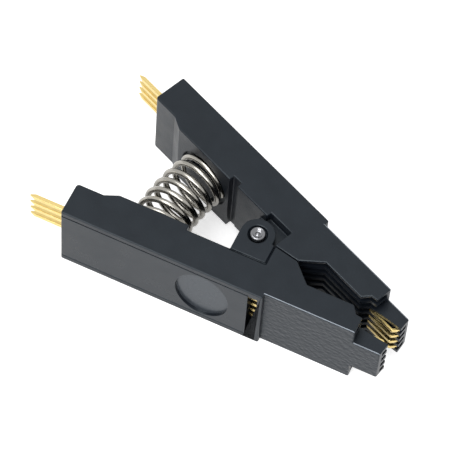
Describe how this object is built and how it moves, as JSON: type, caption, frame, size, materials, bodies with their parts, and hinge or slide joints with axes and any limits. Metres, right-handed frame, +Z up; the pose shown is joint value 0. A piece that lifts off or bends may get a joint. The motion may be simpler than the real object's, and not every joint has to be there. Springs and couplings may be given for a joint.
{
  "type": "ic test clip",
  "caption": "Spring-loaded test clip for a small-outline chip, with two black levers on a pin, combed jaws and gold contacts.",
  "frame": {"origin": "centre of the clip's outline, on the plane it lies on", "axes": "+X along the centre line towards the jaws, +Z up along the hinge pin, +Y to the left lever"},
  "size_m": [0.044, 0.023, 0.0106],
  "materials": {
    "lever_plastic": "black moulded plastic, satin",
    "cover_plastic": "black moulded plastic, satin",
    "pin_steel": "nickel-plated steel",
    "spring_steel": "nickel-plated spring wire",
    "contact_gold": "gold-plated, bright"
  },
  "bodies": {
    "right_side": {"right_lever": "lever_plastic", "right_cover": "cover_plastic", "hinge_pin": "pin_steel", "spring": "spring_steel", "right_contact_1": "contact_gold", "right_contact_2": "contact_gold", "right_contact_3": "contact_gold", "right_contact_4": "contact_gold"},
    "left_side": {"left_lever": "lever_plastic", "left_cover": "cover_plastic", "left_contact_1": "contact_gold", "left_contact_2": "contact_gold", "left_contact_3": "contact_gold", "left_contact_4": "contact_gold"}
  },
  "joints": [
    {"name": "pivot", "type": "hinge", "parent": "right_side", "child": "left_side", "pos_m": [0.00267, 0, 0], "axis": [0, 0, 1], "range_deg": [0, 20], "stiffness_Nm_per_rad": 0.1, "springref_deg": -17.19, "deforming": ["spring"]}
  ]
}
